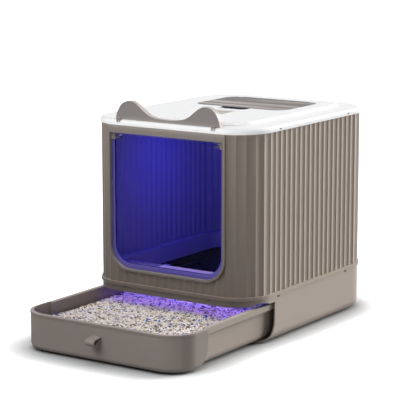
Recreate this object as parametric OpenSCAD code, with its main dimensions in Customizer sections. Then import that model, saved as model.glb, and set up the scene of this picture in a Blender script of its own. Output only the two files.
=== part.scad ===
// Enclosed litter box with a pull-out drawer, a swinging front flap and a lid with a hatch.
// Millimetres, +Z up, the front faces -Y. The drawer stands partly open, as in use.
// Everything is drawn about the centre of the cabin, then moved so that the origin is
// the middle of the whole footprint on the floor.

/* [Cabin] */
// Width of the cabin
body_w = 410; // [380:5:440]
// Depth of the cabin
body_d = 510; // [480:5:560]
// Plan radius of the cabin's corners
corner_r = 80; // [72:2:88]
// Thickness of the moulded walls
wall_t = 3; // [2.5:0.1:3.5]
// Height of the seam between base and upper shell
seam_z = 98; // [96:1:104]
// Height of the fluted walls' top edge
ribs_top = 440; // [420:5:480]
// Width of one upright flute, from ridge to ridge
rib_pitch = 20; // [18:1:24]
// How deep the flutes are hollowed out between the ridges
rib_depth = 2.8; // [2.5:0.1:3.2]

/* [Drawer] */
// How far the drawer stands open
drawer_out = 240; // [200:10:300]
// Room behind the shut tray, up to the cabin's back
back_room = 26; // [24:1:40]
// Room beside the tray, up to the cabin's outer wall
side_room = 15; // [15:0.5:18]
// Height of the drawer's rim above the floor
rim_z = 80; // [78:1:81]
// Plan radius of the drawer's front corners
front_r = 60; // [50:2:70]
// Length of the drawer front's side wings
wing_l = 99; // [95:1:105]
// Height of the litter's level above the floor
litter_z = 54; // [40:1:58]
// How far the pull tab stands out
tab_reach = 24.5; // [20:0.5:30]

/* [Entry] */
// Width of the entry opening
entry_w = 283; // [260:1:290]
// Height of the sill above the floor
sill_z = 136; // [135:1:142]
// Radius of the opening's lower corners
entry_r = 48; // [40:1:55]

/* [Lid] */
// Height of the lid's raised middle above its rim
plateau_h = 5.5; // [5:0.5:8]
// Width of the hatch opening
hatch_w = 234; // [210:2:250]
// Front edge of the hatch opening, from the cabin's centre
hatch_front = 12; // [8:1:20]
// Length of the hatch opening
hatch_l = 168; // [150:2:172]
// Width of the finger notch
notch_w = 72; // [60:2:80]

/* [Ears] */
// Width of the ear plate
ears_w = 260; // [240:2:270]
// Height of the ears above the lid's rim
ears_h = 40; // [34:1:46]
// Thickness of the ear plate
ears_t = 13; // [10:1:16]

/* [Hidden] */
$fn = 96;
eps = 0.01;
gap = 0.3;
foot_h = 2.5;
floor_t = 2.2;
curl_r = 18;
foot_in = curl_r + 9;
ledge_w = 12;
ledge_t = 3;
seam_h = 7;
seam_out = 3;
neck_h = 8.7;
front_y = -body_d / 2;
// flutes: whole numbers along each side and round each corner
side_run = body_d - 2 * corner_r;
back_run = body_w - 2 * corner_r;
side_ribs = round(side_run / rib_pitch);
back_ribs = round(back_run / rib_pitch);
corner_ribs = round(corner_r * PI / 2 / rib_pitch);
land = 0.6;
side_flute_r = flute_r(side_run / side_ribs);
back_flute_r = flute_r(back_run / back_ribs);
turn = 1 - cos(45 / corner_ribs - land / 2 / corner_r * 180 / PI);
corner_flute_r = (pow(rib_depth, 2) + 2 * corner_r * turn * (corner_r - rib_depth))
    / (2 * rib_depth - 2 * corner_r * turn);
inner_in = rib_depth + wall_t + 0.8;
// the drawer's openings and running gear
beam_z = 85;
cut_r = 44;
lip_z = rim_z - 12;
lip_w = 8.5;
runner_top = lip_z - gap;
runner_x = body_w / 2 - wall_t;
runner_from = front_y + wing_l + 6;
runner_to = body_d / 2 - corner_r - 3;
tray_w = body_w - 2 * side_room;
tray_l = body_d - back_room;
mouth_gap = 0.6;
front_w = tray_w + 18;
front_t = 2.2;
front_z = 4;
front_fillet = 10;
plan_l = 3 * wing_l;
tray_t = 2.5;
tray_foot = 14;
tray_z = foot_h + floor_t + 0.5;
tray_back = front_y + tray_l;
wide_w = front_w - 2 * front_t - 2 * gap;
tab_gap = 4.8;
tab_w = 22;
tab_z = 54;
tab_t = 2.2;
nose_r = 7;
foot_x = 98;
foot_y = 36;
stop_x = 168;
stop_top = 92;
// the litter is a little heaped near the front
heap_r = 125;
heap_h = 7;
heap_x = 30;
heap_y = front_y + 150;
// entry
entry_top = ribs_top - 16;
frame_lip = 5;
frame_t = 3;
reveal_t = 1.7;
reveal_d = 19;
flap_clear = 2;
flap_t = 3;
flap_y = front_y + 7;
flap_side = 6;
flap_foot = 9;
hinge_z = entry_top - 10;
boss_r = 4.5;
pin_r = 2.5;
pin_run = 0.05;
cheek = 10.5;
shoulder_z = hinge_z - 8.5;
// deck round the cabin floor
deck_room = inner_in + 0.7;
deck_w = body_w - 2 * deck_room;
deck_d = body_d - 2 * deck_room;
deck_top = sill_z - 5;
deck_t = 2.5;
deck_in = 19;
deck_low = 84;
deck_leg = 94;
deck_front = front_y + 90;
// lid
lid_over = 2;
lid_w = body_w + 2 * lid_over;
lid_d = body_d + 2 * lid_over;
lid_r = corner_r + lid_over;
neck_top = ribs_top + neck_h;
plate_z = neck_top + gap;
plate_t = 3;
rim_top = plate_z + plate_t;
skirt_z = ribs_top + gap;
skirt_t = 3.7;
lid_edge_r = 6;
plateau_w = body_w - 108;
plateau_d = body_d - 86;
plateau_y = 6;
plateau_r = 46;
plateau_top = rim_top + plateau_h;
hatch_r = 31;
hatch_back = hatch_front + hatch_l;
hatch_y = hatch_front + hatch_l / 2;
seat_in = 5;
seat_z = plateau_top - 3.5;
frame_z = plateau_top - 7.5;
hatch_t = 3;
hatch_axis = [hatch_back - 2.5, seat_z + gap + hatch_t / 2];
hatch_pin_r = 1;
hatch_pin_x = hatch_w / 2 - hatch_r - 10;
hatch_pin_l = 28;
notch_d = 28;
// lamp
lamp_w = 66;
lamp_d = 62;
lamp_y = front_y + 183;
lamp_top = plateau_top - 2.5;
lamp_low = lamp_top - 23;
lamp_t = 2;
lens_in = 7;
cover_w = lamp_w + 6;
cover_d = lamp_d + 6;
cover_t = 2;
cover_z = lamp_top - cover_t;
button_y = lamp_y - 20.5;
button_r = 5;
cell_r = 5.2;
cell_l = 44;
cells = 3;
cell_step = 2 * cell_r + 1.1;
contact_l = (cells - 1) * cell_step + 9;
button_play = 1.5;
// small fasteners
clip_x = back_run / 2 - 17;
clip_y = side_run / 2 - 34;
// whole footprint: from the pull tab to the back of the lid
mid_y = (tab_reach + drawer_out - lid_over) / 2;
side_turns = [[1, 1, 0], [-1, 1, 90], [-1, -1, 180], [1, -1, 270]];

// ---- shared shapes ----

// flat rectangle with round corners, about its centre
module round_rect(w, d, r) {
    square([w, d - 2 * r], center = true);
    square([w - 2 * r, d], center = true);
    for (x = [-1, 1], y = [-1, 1])
        translate([x * (w / 2 - r), y * (d / 2 - r)]) circle(r);
}

// upright opening: square at the top, round at the lower corners
module entry_shape(w, low, high, r) {
    translate([-w / 2, low + r]) square([w, high - low - r]);
    translate([-w / 2 + r, low]) square([w - 2 * r, r + 1]);
    for (x = [-1, 1]) translate([x * (w / 2 - r), low + r]) circle(r);
}

// a section carried round a rounded rectangle; its x = 0 is the outline, inwards is -x
module ring(w, d, r) {
    for (c = side_turns)
        translate([c[0] * (w / 2 - r), c[1] * (d / 2 - r), 0]) rotate(c[2])
            rotate_extrude(angle = 90) translate([r, 0]) children();
    for (s = [0, 180]) rotate(s) {
        translate([w / 2 - r, 0, 0]) rotate([90, 0, 0])
            linear_extrude(d - 2 * r, center = true) translate([r, 0]) children();
        translate([0, d / 2 - r, 0]) rotate([90, 0, 90])
            linear_extrude(w - 2 * r, center = true) translate([r, 0]) children();
    }
}

// a flat shape in (x, z) given thickness from y = from to y = to
module upright(from, to) {
    translate([0, to, 0]) rotate([90, 0, 0]) linear_extrude(to - from) children();
}

// a flat shape in (y, z) given width w about x = 0
module across(w) {
    rotate([90, 0, 90]) linear_extrude(w, center = true) children();
}

// radius of a flute on a straight wall, for the given distance between ridges
function flute_r(pitch) = (pow((pitch - land) / 2, 2) + pow(rib_depth, 2)) / (2 * rib_depth);

// the flutes seen from above: [x, y, radius], centres outside the outline
function flutes() = concat(
    [for (i = [0 : side_ribs - 1], s = [-1, 1])
        [s * (body_w / 2 + side_flute_r - rib_depth), (i + 0.5) * side_run / side_ribs - side_run / 2,
         side_flute_r]],
    [for (i = [0 : back_ribs - 1], s = [-1, 1])
        [(i + 0.5) * back_run / back_ribs - back_run / 2, s * (body_d / 2 + back_flute_r - rib_depth),
         back_flute_r]],
    [for (c = side_turns, i = [0 : corner_ribs - 1])
        let (a = c[2] + (i + 0.5) * 90 / corner_ribs, r = corner_r + corner_flute_r - rib_depth)
        [c[0] * (body_w / 2 - corner_r) + r * cos(a), c[1] * (body_d / 2 - corner_r) + r * sin(a),
         corner_flute_r]]);

// the fluted outline, or the same outline set in by one wall
module fluted(inset) {
    difference() {
        round_rect(body_w - 2 * inset, body_d - 2 * inset, corner_r - inset);
        for (f = flutes()) translate([f[0], f[1]]) circle(f[2] + inset);
    }
}

// ---- base ----

module base_section() {
    translate([-wall_t, foot_h + curl_r]) square([wall_t, seam_z - foot_h - curl_r]);
    intersection() {
        translate([-curl_r, foot_h + curl_r]) difference() {
            circle(curl_r);
            circle(curl_r - wall_t);
        }
        translate([-curl_r, foot_h]) square([curl_r, curl_r]);
    }
    translate([-ledge_w, seam_z - ledge_t]) square([ledge_w, ledge_t]);
}

// the mouth that the drawer comes out of, as seen from the side
module mouth_shape(inset) {
    side_y = front_y + wing_l + mouth_gap;
    translate([front_y - 20, -1]) square([20 + side_y - front_y - cut_r, beam_z + 1]);
    translate([front_y - 20, foot_h + cut_r])
        square([20 + side_y - front_y - inset, beam_z - foot_h - cut_r]);
    translate([side_y - cut_r, foot_h + cut_r]) circle(cut_r - inset);
}

// places for the small hooks at the seam: two on each side
module at_clips() {
    for (s = [-1, 1]) {
        for (x = [-1, 1]) translate([x * clip_x, s * body_d / 2, 0]) rotate(s * 90) children();
        for (y = [-1, 1]) translate([s * body_w / 2, y * clip_y, 0]) rotate(90 - s * 90) children();
    }
}

function foot_places() = concat(
    [for (x = [-1, 1], y = [front_y + 145, body_d / 2 - 95]) [x * (body_w / 2 - foot_in), y]],
    [for (x = [-1, 1]) [x * clip_x, body_d / 2 - foot_in]]);

module base_housing() {
    color([0.52, 0.48, 0.45]) difference() {
        union() {
            ring(body_w, body_d, corner_r) base_section();
            translate([0, 0, foot_h]) linear_extrude(floor_t)
                round_rect(body_w - 2 * curl_r + 1, body_d - 2 * curl_r + 1, corner_r - curl_r + 0.5);
        }
        across(body_w + 20) mouth_shape(0);
        at_clips() translate([-ledge_w - 1, -4.6, seam_z - 5.5]) cube([ledge_w + 2, 9.2, 7]);
    }
}

module base_feet() {
    color([0.12, 0.12, 0.13]) for (p = foot_places())
        translate([p[0], p[1], 0]) cylinder(r = 6, h = foot_h);
}

module runner() {
    length = runner_to - runner_from;
    translate([runner_x - 10.5, runner_from, runner_top - 3.7]) cube([10.5, length, 3.7]);
    translate([runner_x - 3, runner_from, runner_top - 16]) cube([3, length, 14]);
    for (i = [0 : 4]) translate([runner_x - 9.5, runner_from + 8 + i * (length - 19) / 4, runner_top - 12])
        cube([8, 3, 9]);
}

module runner_right() {
    color([0.10, 0.10, 0.10]) runner();
}

module runner_left() {
    color([0.10, 0.10, 0.10]) mirror([1, 0, 0]) runner();
}

// ---- upper shell, its entry and the deck inside ----

module upper_shell() {
    color([0.56, 0.52, 0.48]) difference() {
        union() {
            translate([0, 0, seam_z]) linear_extrude(seam_h)
                round_rect(body_w + 2 * seam_out, body_d + 2 * seam_out, corner_r + seam_out);
            translate([0, 0, seam_z + seam_h]) linear_extrude(ribs_top - seam_z - seam_h)
                fluted(0);
            translate([0, 0, ribs_top]) linear_extrude(neck_h)
                round_rect(body_w - 4.4, body_d - 4.4, corner_r - 2.2);
        }
        translate([0, 0, seam_z - 1]) linear_extrude(neck_top - seam_z + 2)
            round_rect(body_w - 2 * inner_in, body_d - 2 * inner_in, corner_r - inner_in);
        translate([0, 0, seam_z + 4]) linear_extrude(ribs_top - seam_z - 8) fluted(wall_t);
        upright(front_y - 10, front_y + 20)
            entry_shape(entry_w + 4, sill_z - frame_lip + 3, entry_top + 2, entry_r + 2);
    }
}

module shell_clips() {
    color([0.16, 0.15, 0.15]) at_clips()
        translate([-2.6, -4.3, seam_z - 5]) cube([3.2, 8.6, 5]);
}

module entry_frame() {
    reveal_out = entry_w / 2 + reveal_t;
    color([0.56, 0.53, 0.50]) difference() {
        union() {
            upright(front_y - frame_t, front_y)
                entry_shape(entry_w + 2 * frame_lip, sill_z - frame_lip, ribs_top - 0.5, entry_r + frame_lip);
            upright(front_y - 1, front_y + reveal_d)
                entry_shape(2 * reveal_out, sill_z - reveal_t, entry_top + reveal_t, entry_r + reveal_t);
        }
        upright(front_y - 10, front_y + reveal_d + 10) difference() {
            entry_shape(entry_w, sill_z, entry_top, entry_r);
            for (x = [-1, 1]) translate([x * (entry_w / 2 - cheek / 2 + 1), hinge_z + 3])
                square([cheek + 2, 16], center = true);
        }
        // the hinge cheeks are only as thick as the pins need
        for (y = [front_y - 9, flap_y + 4])
            translate([-entry_w / 2 + eps, y, hinge_z - 6])
                cube([entry_w - 2 * eps, y < flap_y ? flap_y - 4 - y : 20, entry_top - hinge_z + 6 - eps]);
        for (s = [-1, 1]) translate([s * (entry_w / 2 - cheek - 2), flap_y, hinge_z])
            rotate([0, s * 90, 0]) cylinder(r = pin_r + pin_run, h = 10);
    }
}

module inner_deck() {
    inner_w = deck_w - 2 * deck_in + 2;
    inner_d = deck_d - 2 * deck_in + 2;
    color([0.60, 0.57, 0.55]) {
        ring(deck_w, deck_d, corner_r - deck_room) {
            translate([-deck_t, seam_z]) square([deck_t, deck_top - seam_z]);
            translate([-deck_in, deck_top - deck_t]) square([deck_in, deck_t]);
            translate([-deck_in, deck_leg]) square([deck_t, deck_top - deck_leg]);
        }
        // the step behind the sill, and the wall under its inner edge
        translate([0, 0, deck_top - deck_t]) linear_extrude(deck_t) intersection() {
            round_rect(inner_w, inner_d, corner_r - deck_room - deck_in + 1);
            translate([-deck_w, -deck_d]) square([2 * deck_w, deck_d + deck_front]);
        }
        translate([-inner_w / 2, deck_front - deck_t, deck_low]) cube([inner_w, deck_t, deck_top - deck_low]);
    }
}

// ---- flap ----

flap_w = entry_w - 2 * flap_clear;
flap_low = sill_z + flap_clear;
pane_w = flap_w - 2 * flap_side;

module entry_flap() {
    color([0.82, 0.82, 0.92, 0.35]) difference() {
        union() {
            upright(flap_y - flap_t / 2, flap_y + flap_t / 2) {
                entry_shape(pane_w, flap_low + flap_foot, shoulder_z, entry_r - 9);
                translate([-pane_w / 2 + 4, shoulder_z - 1]) square([pane_w - 8, hinge_z + 6.5 - shoulder_z]);
            }
            for (s = [-1, 1]) translate([s * (pane_w / 2 - 9), flap_y, hinge_z])
                rotate([0, 90, 0]) cylinder(r = boss_r, h = 10, center = true);
        }
        for (s = [-1, 1]) translate([s * (pane_w / 2 - 15), flap_y, hinge_z])
            rotate([0, s * 90, 0]) cylinder(r = pin_r, h = 20);
    }
}

module flap_rim() {
    color([0.78, 0.78, 0.90, 0.6]) upright(flap_y - 2.5, flap_y + 2.5) difference() {
        entry_shape(flap_w, flap_low, shoulder_z, entry_r - 3);
        entry_shape(pane_w, flap_low + flap_foot, shoulder_z + 1, entry_r - 9);
    }
}

module flap_pins() {
    color([0.80, 0.80, 0.82]) for (s = [-1, 1])
        translate([s * (pane_w / 2 - 15), flap_y, hinge_z]) rotate([0, s * 90, 0])
            cylinder(r = pin_r, h = 20);
}

// ---- lid ----

module lid_section() {
    difference() {
        union() {
            translate([-skirt_t, skirt_z]) square([skirt_t, rim_top - lid_edge_r - skirt_z]);
            intersection() {
                translate([-lid_edge_r, rim_top - lid_edge_r]) circle(lid_edge_r);
                translate([-lid_edge_r, rim_top - lid_edge_r]) square(lid_edge_r);
            }
            translate([-14, plate_z]) square([14 - lid_edge_r, plate_t]);
        }
        translate([-lid_edge_r - 1, rim_top - lid_edge_r - 1])
            square([lid_edge_r + 1 - skirt_t, plate_z - rim_top + lid_edge_r + 1]);
    }
}

module hatch_shape(inset) {
    translate([0, hatch_y]) round_rect(hatch_w - 2 * inset, hatch_l - 2 * inset, hatch_r - inset);
}

module lamp_shape(w, d, r) {
    translate([0, lamp_y]) round_rect(w, d, r);
}

module notch_shape() {
    translate([0, hatch_front - notch_d / 2 + 6]) round_rect(notch_w, notch_d + 12, 11);
}

// places of the small tabs in the lid's skirt
module at_skirt_tabs() {
    for (s = [-1, 1], y = [-1, 1])
        translate([s * lid_w / 2, y * clip_y, rim_top - lid_edge_r]) rotate(90 - s * 90) children();
}

module lid_cover() {
    color([0.95, 0.95, 0.95]) difference() {
        union() {
            ring(lid_w, lid_d, lid_r) lid_section();
            translate([0, 0, plate_z]) linear_extrude(plate_t)
                round_rect(lid_w - 26, lid_d - 26, lid_r - 13);
            translate([0, plateau_y, rim_top - 1]) linear_extrude(plateau_h - 1)
                round_rect(plateau_w + 4, plateau_d + 4, plateau_r + 2);
            translate([0, plateau_y, rim_top - 1]) linear_extrude(plateau_h + 1)
                round_rect(plateau_w, plateau_d, plateau_r);
        }
        difference() {
            translate([0, plateau_y, plate_z - 1]) linear_extrude(plateau_top - 3 - plate_z + 1)
                round_rect(plateau_w - 4, plateau_d - 4, plateau_r - 2);
            translate([0, 0, frame_z]) linear_extrude(plateau_top - frame_z) {
                hatch_shape(-5);
                lamp_shape(cover_w + 6, cover_d + 6, 10);
            }
        }
        // the lamp's cover lies in a shallow pocket
        translate([0, 0, cover_z - gap]) linear_extrude(10) lamp_shape(cover_w + 1, cover_d + 1, 7.5);
        // seat of the hatch and the way through it
        translate([0, 0, seat_z]) linear_extrude(10) hatch_shape(0);
        translate([0, 0, frame_z - 20]) linear_extrude(40) hatch_shape(seat_in);
        translate([-hatch_w / 2 + hatch_r, hatch_y, frame_z - 20])
            cube([hatch_w - 2 * hatch_r, hatch_l / 2, 40]);
        translate([0, 0, frame_z - 20]) linear_extrude(40) notch_shape();
        for (s = [-1, 1]) translate([s * (hatch_w / 2 - hatch_r), hatch_axis[0], hatch_axis[1]])
            rotate([0, s * 90, 0]) cylinder(r = hatch_pin_r + pin_run, h = 18.5);
        translate([0, 0, frame_z - 20]) linear_extrude(40) lamp_shape(lamp_w + 1, lamp_d + 1, 6);
        at_skirt_tabs() translate([-skirt_t - 1, -3.6, -3]) cube([skirt_t + 2, 7.2, 3.4]);
    }
}

module lid_clips() {
    color([0.18, 0.17, 0.17]) at_skirt_tabs()
        translate([-skirt_t, -3.4, -2.8]) cube([skirt_t - 0.2, 6.8, 3]);
}

module rear_catch() {
    color([0.30, 0.28, 0.27]) translate([-10, lid_d / 2 - 16, rim_top]) cube([20, 8, 1.4]);
}

// one ear from its outer foot to the middle of the valley
function ear_points() = [
    [1.00, 0.00], [0.985, 0.28], [0.955, 0.50], [0.915, 0.72], [0.86, 0.88], [0.795, 0.97],
    [0.735, 1.00], [0.675, 0.98], [0.615, 0.90], [0.555, 0.77], [0.49, 0.60], [0.42, 0.43],
    [0.34, 0.29], [0.23, 0.20], [0.11, 0.165], [0.00, 0.155]];

module ear_plate() {
    half = [for (p = ear_points()) [p[0] * ears_w / 2, rim_top + p[1] * ears_h]];
    other = [for (i = [len(half) - 2 : -1 : 0]) [-half[i][0], half[i][1]]];
    back_y = front_y + 5 + ears_t;
    color([0.55, 0.52, 0.50]) {
        difference() {
            upright(back_y - ears_t, back_y) polygon(concat(half, other));
            upright(back_y - ears_t + 2.5, back_y + 1) intersection() {
                polygon([for (p = concat(half, other))
                    [p[0] * 0.965, (p[1] - rim_top) * 0.90 - 1 + rim_top]]);
                translate([-ears_w, rim_top - 5]) square([2 * ears_w, 100]);
            }
        }
        // double pegs that hook over the lid's front edge
        for (s = [-1, 1], k = [-3, 3]) translate([s * 118 + k, 0, 0]) {
            translate([-1.6, front_y - lid_over - 1.6, rim_top]) cube([3.2, 9, 2.4]);
            translate([-1.6, front_y - lid_over - 1.6, rim_top - 5.5]) cube([3.2, 1.6, 6]);
        }
    }
}

// ---- hatch ----

module hatch_cover() {
    barrel = hatch_w - 2 * hatch_r - 4;
    color([0.55, 0.51, 0.47]) difference() {
        union() {
            // narrower along its hinge, so that its corners clear the seat as it turns
            translate([0, 0, seat_z + gap]) linear_extrude(hatch_t) intersection() {
                hatch_shape(1);
                union() {
                    translate([-hatch_w, hatch_front - 5])
                        square([2 * hatch_w, hatch_axis[0] - 3 - hatch_front + 5]);
                    translate([-barrel / 2 - 5, hatch_y]) square([barrel + 10, hatch_axis[0] - hatch_y]);
                }
            }
            translate([0, hatch_axis[0], hatch_axis[1]]) rotate([0, 90, 0])
                cylinder(r = 1.8, h = barrel, center = true);
        }
        for (s = [-1, 1]) translate([s * hatch_pin_x, hatch_axis[0], hatch_axis[1]])
            rotate([0, s * 90, 0]) cylinder(r = hatch_pin_r, h = 50);
    }
}

module hatch_pins() {
    color([0.75, 0.75, 0.77]) for (s = [-1, 1])
        translate([s * hatch_pin_x, hatch_axis[0], hatch_axis[1]]) rotate([0, s * 90, 0])
            cylinder(r = hatch_pin_r, h = hatch_pin_l);
}

// ---- lamp ----

module lamp_case() {
    rim = cover_z - gap;
    color([0.92, 0.92, 0.91]) difference() {
        union() {
            translate([0, 0, lamp_low]) linear_extrude(rim - lamp_low) lamp_shape(lamp_w, lamp_d, 6);
            translate([0, 0, frame_z - 2.4]) linear_extrude(2.4) lamp_shape(lamp_w + 10, lamp_d + 10, 8);
        }
        translate([0, 0, lamp_low + lamp_t]) linear_extrude(cover_z - lamp_low)
            lamp_shape(lamp_w - 2 * lamp_t, lamp_d - 2 * lamp_t, 4);
        translate([0, 0, lamp_low - 1]) linear_extrude(10) lamp_shape(lamp_w - 2 * lens_in, lamp_d - 2 * lens_in, 5);
    }
}

module lamp_lens() {
    color([0.62, 0.50, 0.98, 0.8]) {
        translate([0, 0, lamp_low]) linear_extrude(lamp_t)
            lamp_shape(lamp_w - 2 * lens_in - 0.4, lamp_d - 2 * lens_in - 0.4, 5);
        translate([0, 0, lamp_low + lamp_t]) linear_extrude(1) lamp_shape(lamp_w - 6, lamp_d - 6, 4);
    }
}

module lamp_board() {
    color([0.10, 0.35, 0.22]) {
        translate([0, 0, lamp_low + 6]) linear_extrude(1.6) lamp_shape(lamp_w - 5, lamp_d - 5, 3.5);
        for (x = [-1, 1], y = [-1, 1])
            translate([x * (lamp_w / 2 - 6.5), lamp_y + y * (lamp_d / 2 - 6.5), lamp_low + 3])
                cylinder(r = 2.5, h = 3.5);
    }
}

module lamp_leds() {
    color([0.85, 0.80, 1.0]) for (x = [-1 : 1], y = [-1, 1])
        translate([x * 15, lamp_y + y * 12, lamp_low + 4.2]) cylinder(r = 2.5, h = 1.8);
}

module lamp_switch() {
    plunger_top = cover_z - 0.9 - gap;
    color([0.15, 0.15, 0.16]) {
        translate([-4, button_y - 4, lamp_low + 7.6]) cube([8, 8, 6]);
        translate([0, button_y, lamp_low + 13])
            cylinder(r = 1.5, h = plunger_top - lamp_low - 13 - button_play);
    }
}

module battery_cells() {
    color([0.30, 0.32, 0.36]) for (i = [0 : cells - 1]) {
        cell_y = lamp_y - 4.5 + i * cell_step;
        translate([0, cell_y, lamp_low + 7.6 + cell_r]) rotate([0, 90, 0])
            cylinder(r = cell_r, h = cell_l, center = true);
        translate([(i % 2 == 0 ? 1 : -1) * (cell_l / 2 + 0.5), cell_y, lamp_low + 7.6 + cell_r])
            rotate([0, 90, 0]) cylinder(r = 1.9, h = 1, center = true);
    }
}

module battery_contacts() {
    color([0.75, 0.74, 0.70]) for (s = [-1, 1]) {
        translate([s * (cell_l / 2 + 1.3) - 0.3, lamp_y - 9, lamp_low + 7.6]) cube([0.6, contact_l, 10]);
        translate([s * (cell_l / 2 + 2.8) - 1.8, lamp_y - 9, lamp_low + 7.6]) cube([3.6, contact_l, 0.6]);
    }
}

module lamp_cover() {
    color([0.57, 0.53, 0.50]) difference() {
        union() {
            translate([0, 0, cover_z]) linear_extrude(cover_t) lamp_shape(cover_w, cover_d, 7);
            translate([0, 0, cover_z - 2.4]) linear_extrude(3)
                lamp_shape(lamp_w - 2 * lamp_t - 0.8, lamp_d - 2 * lamp_t - 0.8, 4);
        }
        translate([0, 0, cover_z - 3]) linear_extrude(3)
            lamp_shape(lamp_w - 2 * lamp_t - 4, lamp_d - 2 * lamp_t - 4, 3);
        translate([0, button_y, cover_z - 3]) cylinder(r = button_r + 0.3, h = 10);
    }
}

module lamp_button() {
    low = cover_z - 0.9;
    color([0.90, 0.90, 0.90]) {
        translate([0, button_y, low]) cylinder(r = button_r, h = 4.4);
        translate([0, button_y, low]) cylinder(r = button_r + 0.9, h = 0.9 - gap);
    }
}

// ---- drawer, drawn shut and then moved out ----

module opened() {
    translate([0, -drawer_out, 0]) children();
}

// plan of the wide part behind the drawer front
module wide_plan(inset) {
    near = front_y + tab_gap + front_t;
    far = front_y + wing_l;
    intersection() {
        translate([0, near + plan_l / 2])
            round_rect(wide_w - 2 * inset, plan_l - 2 * inset, front_r - 4 - inset);
        translate([-wide_w, near - 10]) square([2 * wide_w, far - inset - near + 10]);
    }
}

// plan of the long part of the tray
module long_plan(inset) {
    near = front_y + 13;
    translate([0, (near + tray_back) / 2])
        round_rect(tray_w - 2 * inset, tray_back - near - 2 * inset, 44 - inset);
}

// wall of the long part, with a rounded foot that runs into the floor
module tray_section() {
    translate([-tray_t, tray_z + tray_foot]) square([tray_t, rim_z - tray_z - tray_foot]);
    intersection() {
        translate([-tray_foot, tray_z + tray_foot]) difference() {
            circle(tray_foot);
            circle(tray_foot - tray_t);
        }
        translate([-tray_foot, tray_z]) square([tray_foot, tray_foot]);
    }
    translate([-tray_foot - 2, tray_z]) square([2 + eps, tray_t]);
}

// the lip that turns down over the runners
module lip_section() {
    translate([-lip_w - 1, rim_z - 2.5]) square([lip_w + 1, 2.5]);
    translate([-2.5, lip_z]) square([2.5, rim_z - lip_z]);
}

module drawer_tray() {
    lip_out = tray_w + 2 * lip_w;
    near = front_y + 13;
    color([0.55, 0.51, 0.48]) opened() difference() {
        union() {
            translate([0, (near + tray_back) / 2, 0]) {
                ring(tray_w, tray_back - near, 44) tray_section();
                translate([0, 0, tray_z]) linear_extrude(tray_t)
                    round_rect(tray_w - 2 * tray_foot, tray_back - near - 2 * tray_foot, 44 - tray_foot);
            }
            difference() {
                translate([0, 0, 16]) linear_extrude(rim_z - 16) wide_plan(0);
                translate([0, 0, 16 + tray_t]) linear_extrude(100) wide_plan(tray_t);
                translate([0, 0, 10]) linear_extrude(100) long_plan(tray_t);
            }
            // the rim over the front
            difference() {
                translate([0, 0, rim_z - 4]) linear_extrude(4) intersection() {
                    translate([0, front_y + plan_l / 2 - 1]) round_rect(front_w + 2, plan_l, front_r + 1);
                    translate([-front_w, front_y - 5]) square([2 * front_w, wing_l + 5]);
                }
                translate([0, 0, rim_z - 5]) linear_extrude(10) wide_plan(tray_t);
                translate([0, 0, rim_z - 5]) linear_extrude(10) long_plan(tray_t);
            }
            intersection() {
                translate([0, (front_y + tray_back + lip_w) / 2, 0])
                    ring(lip_out, tray_back + lip_w - front_y, 50) lip_section();
                translate([-lip_out, front_y + wing_l, 0]) cube([2 * lip_out, body_d, 200]);
            }
        }
        // the long part's walls stop where the wide part takes over
        translate([0, 0, 16 + tray_t]) linear_extrude(100) wide_plan(tray_t);
    }
}

module front_section() {
    translate([-front_t, front_z + front_fillet])
        square([front_t, rim_z - 4 - front_z - front_fillet]);
    intersection() {
        translate([-front_fillet, front_z + front_fillet]) difference() {
            circle(front_fillet);
            circle(front_fillet - front_t);
        }
        translate([-front_fillet + 1, front_z]) square([front_fillet - 1, front_fillet]);
    }
}

module drawer_front() {
    color([0.55, 0.51, 0.48]) opened() difference() {
        intersection() {
            translate([0, front_y + plan_l / 2, 0]) ring(front_w, plan_l, front_r) front_section();
            across(2 * front_w) mouth_shape(mouth_gap);
        }
        translate([-tab_w / 2 - 0.3, front_y - 5, tab_z - tab_t - 0.2])
            cube([tab_w + 0.6, 10, 2 * tab_t + 0.4]);
    }
}

// teardrop: a round nose drawn in to a flat neck at the drawer front
function teardrop(nose, r, neck) = concat(
    [[neck[0], neck[1]]],
    [for (a = [105 : 10 : 315]) [nose[0] + r * cos(a), nose[1] + r * sin(a)]],
    [[neck[0], neck[2]]]);

module pull_tab() {
    nose = [-tab_reach + nose_r, tab_z - nose_r - 0.5];
    color([0.57, 0.53, 0.50]) opened() translate([0, front_y, 0]) {
        across(tab_w) difference() {
            polygon(teardrop(nose, nose_r, [-0.4, tab_z + tab_t, tab_z - tab_t]));
            polygon(teardrop(nose, nose_r - tab_t, [-1, tab_z + 0.4, tab_z - 0.2]));
        }
        translate([-tab_w / 2, -0.5, tab_z - tab_t]) cube([tab_w, 3.5, 2 * tab_t]);
        translate([-tab_w / 2 - 3, front_t + 0.1, tab_z - 4.5]) cube([tab_w + 6, tab_gap - 0.5, 9]);
    }
}

module drawer_feet() {
    color([0.12, 0.12, 0.13]) opened() for (s = [-1, 1])
        translate([s * foot_x, front_y + foot_y, 0]) cylinder(r = 7, h = tray_z);
}

module drawer_stops() {
    color([0.88, 0.88, 0.86]) opened() for (s = [-1, 1])
        translate([s * stop_x - 7, tray_back - 7, rim_z]) cube([14, 9, stop_top - rim_z]);
}

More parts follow.
